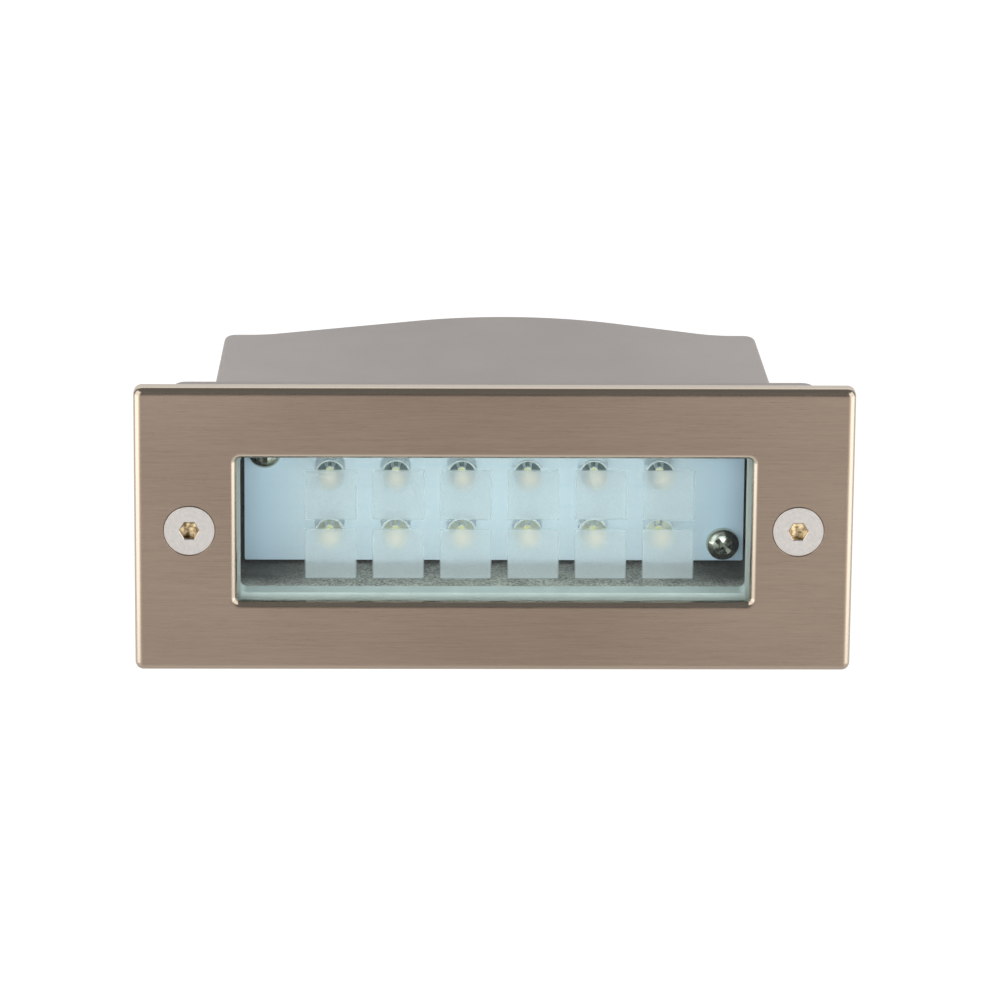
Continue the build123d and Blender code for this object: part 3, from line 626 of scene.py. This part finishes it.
# Materials of the record's slots
looks = {
    "brushed_stainless": brushed_cover(),
    "screw_steel": screw_steel(),
    "window_glass": window_glass(),
    "cast_housing": cast_metal(),
    "tray_coating": grainy_tray(),
    "led_clear": clear_epoxy(),
    "board_white": printed_board(
        "white_board",
        resist=tone(0.9, 0.965, 0.995),
        copper=tone(0.93, 0.98, 1.0),
        speck=tone(0.85, 0.93, 0.97),
        pitch=5.2 * mm,
        lights=True,
    ),
    "driver_green": printed_board(
        "green_board",
        resist=tone(0.1, 0.34, 0.2),
        copper=tone(0.16, 0.42, 0.26),
        speck=tone(0.07, 0.27, 0.16),
        pitch=3.1 * mm,
    ),
    "zinc_steel": grained_metal(
        "zinc_steel",
        dark=tone(0.78, 0.78, 0.71),
        pale=tone(0.87, 0.86, 0.8),
        middle=0.17,
        recesses=True,
    ),
    "lead_metal": grained_metal(
        "lead_metal",
        dark=tone(0.9, 0.9, 0.88),
        pale=tone(0.97, 0.97, 0.95),
        middle=0.35,
        metallic=0.25,
    ),
    "earth_brass": grained_metal(
        "earth_brass",
        dark=tone(0.74, 0.58, 0.29),
        pale=tone(0.83, 0.68, 0.38),
        middle=0.3,
    ),
    "nickel_brass": grained_metal(
        "nickel_brass",
        dark=tone(0.7, 0.69, 0.66),
        pale=tone(0.79, 0.78, 0.75),
        middle=0.26,
    ),
    "gasket_silicone": moulded(
        "silicone",
        dark=tone(0.835, 0.885, 0.858),
        pale=tone(0.888, 0.935, 0.91),
        middle=0.44,
        scale=900,
        gasket=True,
    ),
}

# Moulded materials: slot, name, dark and pale colour, middle of the roughness, features of the skin per metre
plastics = (
    ("retainer_nylon", "nylon", (0.82, 0.81, 0.77), (0.88, 0.87, 0.83), 0.45, 1600),
    ("phosphor", "phosphor", (0.98, 0.92, 0.6), (1.0, 0.98, 0.78), 0.5, 2400),
    ("black_rubber", "black_rubber", (0.05, 0.05, 0.052), (0.1, 0.1, 0.1), 0.6, 1200),
    ("wire_black", "wire_black", (0.05, 0.05, 0.052), (0.09, 0.09, 0.09), 0.38, 1200),
    ("wire_red", "wire_red", (0.6, 0.06, 0.05), (0.7, 0.1, 0.08), 0.38, 1200),
    ("film_case", "film_case", (0.74, 0.53, 0.14), (0.8, 0.6, 0.2), 0.35, 900),
    ("capacitor_sleeve", "capacitor_sleeve", (0.09, 0.1, 0.16), (0.13, 0.14, 0.2), 0.3, 700),
    ("rectifier_case", "rectifier_case", (0.08, 0.08, 0.085), (0.13, 0.13, 0.135), 0.55, 1500),
    ("resistor_coat", "resistor_coat", (0.7, 0.6, 0.43), (0.77, 0.68, 0.5), 0.35, 900),
    ("terminal_case", "terminal_case", (0.18, 0.43, 0.29), (0.23, 0.5, 0.34), 0.45, 1300),
)
for slot, name, dark, pale, middle, scale in plastics:
    looks[slot] = moulded(name, tone(*dark), tone(*pale), middle, scale)

for subpart in frame["record"]["subparts"]:
    mesh = nodes[subpart["node"]].data
    mesh.materials.clear()
    mesh.materials.append(looks[subpart["material_slot"]])


def circle(centre, depth, radius, steps):
    """Loop round an axis along Y; the radius may be a function of the angle, the depth one of the radius."""
    loop = []
    for step in range(steps):
        angle = 2 * math.pi * step / steps
        reach = radius(angle) if callable(radius) else radius
        level = depth(reach) if callable(depth) else depth
        loop.append((centre[0] + reach * math.cos(angle), level, centre[1] + reach * math.sin(angle)))
    return loop


def lofted(name, centre, rows, steps, slot, body, node):
    """Piece skinned over loops of a depth and a radius each, closed at both ends, in place of a node."""
    points = []
    for depth, radius in rows:
        points.extend(circle(centre, depth, radius, steps))
    faces = [tuple(range(steps))]
    last = (len(rows) - 1) * steps
    for base in range(0, last, steps):
        for step in range(steps):
            after = (step + 1) % steps
            faces.append((base + after, base + step, base + steps + step, base + steps + after))
    faces.append(tuple(range(last + steps - 1, last - 1, -1)))
    mesh = bpy.data.meshes.new(name)
    mesh.from_pydata(points, [], faces)
    mesh.shade_smooth()
    mesh.set_sharp_from_angle(angle=sharp_angle)
    mesh.materials.append(looks[slot])
    piece = bpy.data.objects.new(name, mesh)
    bpy.context.scene.collection.objects.link(piece)
    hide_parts(node)
    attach(piece, body)


def hexagon(across):
    """Reach of a hexagon with corners along X, by angle."""
    sixth = math.pi / 3
    return lambda angle: across / 2 / math.cos(angle % sixth - sixth / 2)


def thread(depth):
    """Reach of the screw's thread at a depth, by angle."""

    def reach(angle):
        turn = (depth / thread_pitch + angle / (2 * math.pi)) % 1.0
        groove = min(1.0, max(0.0, abs(2 * turn - 1) * thread_slope - thread_crest))
        return screw_radius - thread_depth * groove

    return reach


def cover_screw(side):
    """Countersunk screw with a hexagon socket and a cut thread."""
    low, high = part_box(f"cover_screw_{side}")
    centre = ((low.x + high.x) / 2, (low.z + high.z) / 2)
    front = low.y
    neck = front + screw_head_rim + screw_head_radius - screw_radius
    start = neck + thread_run_out * thread_pitch
    end = high.y - screw_tip_chamfer
    count = math.ceil((end - start) / (thread_pitch / thread_rows))
    rows = [
        (front + socket_depth, hexagon(socket_across * socket_end_share)),
        (front + socket_depth * socket_wall_share, hexagon(socket_across)),
        (front + socket_bevel, hexagon(socket_across)),
        (front, hexagon(socket_across + 2 * socket_bevel)),
        (front, screw_head_radius - screw_rim_round),
        (front + screw_rim_round, screw_head_radius),
        (front + screw_head_rim, screw_head_radius),
        (neck, screw_radius),
        (start - thread_lead_in, screw_radius),
    ]
    for row in range(count + 1):
        depth = start + (end - start) * row / count
        rows.append((depth, thread(depth)))
    rows.append((high.y, screw_radius - screw_tip_chamfer))
    node = f"cover_screw_{side}"
    lofted(f"socket_screw_{side}", centre, rows, screw_steps, "screw_steel", f"{side}_screw", node)


def cross(half_length, half_width, turn):
    """Reach of a cross with arms along the diagonals, turned by an angle."""

    def reach(angle):
        off = abs(((angle - turn) % (math.pi / 2)) - math.pi / 4)
        if math.tan(off) * half_length <= half_width:
            return half_length / math.cos(off)
        return half_width / math.sin(off)

    return reach


def board_screw(number, place, turn):
    """Pan head screw of the light board, with a tapered cross recess."""
    low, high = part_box("board_screws")
    front = low.y
    seat = front + board_head_height
    floor_cross = cross(recess_length * recess_end_length, recess_width * recess_end_width, turn)
    brim = cross(recess_length + recess_bevel, recess_width + recess_bevel, turn)

    def dome(reach):
        cosine = math.sqrt(max(0.0, 1 - (reach / board_head_radius) ** 2))
        return front + board_dome_height * (1 - cosine)

    rows = [
        (front + recess_depth, floor_cross),
        (lambda reach: dome(reach) + recess_bevel, cross(recess_length, recess_width, turn)),
        (dome, brim),
        (dome, lambda angle: (brim(angle) + board_dome_start) / 2),
    ]
    start = math.asin(board_dome_start / board_head_radius)
    for row in range(board_dome_rows):
        angle = start + (math.pi / 2 - start) * row / (board_dome_rows - 1)
        rows.append((dome, board_head_radius * math.sin(angle)))
    rows += [
        (seat, board_head_radius),
        (seat, board_shank_radius),
        (high.y - board_tip, board_shank_radius),
        (high.y, board_shank_radius - board_tip),
    ]
    lofted(f"board_screw_{number}", place, rows, recess_steps, "zinc_steel", "housing", "board_screws")


def clear_lens(number):
    """Clear dome of a light, solid round its lead posts."""
    low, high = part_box(f"led_lens_{number}")
    centre = ((low.x + high.x) / 2, (low.z + high.z) / 2)
    foot_top = high.y - lens_foot_height
    shoulder = low.y + lens_dome_radius
    flat = lens_front_radius - lens_dome_radius
    rows = [(high.y, lens_foot_radius)]
    for row in range(lens_foot_rows):
        angle = math.pi / 2 * row / (lens_foot_rows - 1)
        depth = foot_top + lens_foot_round * (1 - math.sin(angle))
        rows.append((depth, lens_foot_radius - lens_foot_round * (1 - math.cos(angle))))
    rows += [
        (foot_top, lens_radius),
        (lens_ring_back, lens_radius),
        (lens_ring_front, lens_radius),
        (lens_ring_front, lens_front_radius),
    ]
    for row in range(lens_dome_rows):
        angle = math.pi / 2 * row / lens_dome_rows
        depth = shoulder - lens_dome_radius * math.sin(angle)
        rows.append((depth, flat + lens_dome_radius * math.cos(angle)))
    rows.append((low.y, flat))
    rows.reverse()
    node = f"led_lens_{number}"
    lofted(f"clear_lens_{number}", centre, rows, lens_steps, "led_clear", "housing", node)


# Threaded cover screws, board screws and the lenses of the lights
for side in ("left", "right"):
    cover_screw(side)
for number, (place, turn) in enumerate(zip(board_screw_places, board_screw_turns), start=1):
    board_screw(number, place, turn)
for number in range(1, light_count + 1):
    clear_lens(f"{number:02d}")


def floor():
    """Wide pale floor under the object."""
    half = floor_half
    height = cad_box[0][2] - floor_drop
    corners = [(-half, -half, height), (half, -half, height), (half, half, height), (-half, half, height)]
    mesh = bpy.data.meshes.new("floor")
    mesh.from_pydata(corners, [], [(0, 1, 2, 3)])
    mesh.materials.append(pale_floor())
    plane = bpy.data.objects.new("floor", mesh)
    bpy.context.scene.collection.objects.link(plane)


def softbox(name, place, aim, size, power, colour, mirrored=True):
    """Soft lamp at a place, turned to a point, that shows in bright metal or not."""
    data = bpy.data.lights.new(name, "AREA")
    data.shape = "RECTANGLE"
    data.size, data.size_y = size
    data.energy = power
    data.color = colour
    lamp = bpy.data.objects.new(name, data)
    lamp.location = place
    lamp.rotation_euler = (Vector(aim) - Vector(place)).to_track_quat("-Z", "Y").to_euler()
    lamp.visible_camera = False
    lamp.visible_glossy = mirrored
    bpy.context.scene.collection.objects.link(lamp)


def set_camera():
    """Camera at the photograph's place and angle."""
    back = Vector((
        math.sin(camera_azimuth) * math.cos(camera_elevation),
        -math.cos(camera_azimuth) * math.cos(camera_elevation),
        math.sin(camera_elevation),
    ))
    ahead = -back
    right = ahead.cross(Vector((0, 0, 1))).normalized()
    up = right.cross(ahead)
    across = right * math.cos(camera_roll) + up * math.sin(camera_roll)
    upward = up * math.cos(camera_roll) - right * math.sin(camera_roll)
    aim = (ahead * focal_pixels + across * target_offset[0] + upward * target_offset[1]).normalized()
    side = (across - aim * across.dot(aim)).normalized()
    top = side.cross(aim)
    data = bpy.data.cameras.new("camera")
    data.sensor_width = sensor_width
    data.lens = sensor_width * focal_pixels / picture_side
    data.clip_start = camera_near
    data.clip_end = camera_far
    camera = bpy.data.objects.new("camera", data)
    turn = Matrix((side, top, -aim)).transposed().to_4x4()
    camera.matrix_world = Matrix.Translation(camera_target + back * camera_distance) @ turn
    bpy.context.scene.collection.objects.link(camera)
    bpy.context.scene.camera = camera


def studio():
    """Dim room, lighter behind the object."""
    world = bpy.data.worlds.new("studio")
    world.use_nodes = True
    tree = world.node_tree
    place = tree.nodes.new("ShaderNodeTexCoord")
    split = tree.nodes.new("ShaderNodeSeparateXYZ")
    light = tree.nodes.new("ShaderNodeMapRange")
    light.interpolation_type = "SMOOTHSTEP"
    light.inputs["From Min"].default_value = room_turn_start
    light.inputs["From Max"].default_value = room_turn_end
    light.inputs["To Min"].default_value = room_light_front
    light.inputs["To Max"].default_value = room_light_back
    background = tree.nodes["Background"]
    background.inputs["Color"].default_value = (1.0, 1.0, 1.0, 1.0)
    tree.links.new(place.outputs["Generated"], split.inputs[0])
    tree.links.new(split.outputs["Y"], light.inputs["Value"])
    tree.links.new(light.outputs[0], background.inputs["Strength"])
    bpy.context.scene.world = world


# Floor, lamps, world and camera
floor()
softbox(
    "top_lamp",
    place=(0.0, 1.05, 1.0),
    aim=(0, 0.03, 0),
    size=(1.7, 0.6),
    power=2.2,
    colour=(1.0, 0.99, 0.98),
)
for side in (-1, 1):
    softbox(
        f"side_lamp_{side}",
        place=(side * 0.47, -0.25, 0.22),
        aim=(0, 0, 0.22),
        size=(0.78, 0.84),
        power=3.2,
        colour=(1.0, 0.99, 0.97),
    )
softbox(
    "front_lamp",
    place=(0.0, -1.6, 0.25),
    aim=(0, 0, 0),
    size=(0.8, 0.8),
    power=8.0,
    colour=(0.9, 0.965, 1.0),
    mirrored=False,
)
studio()
set_camera()
bpy.context.scene.view_settings.view_transform = "Standard"
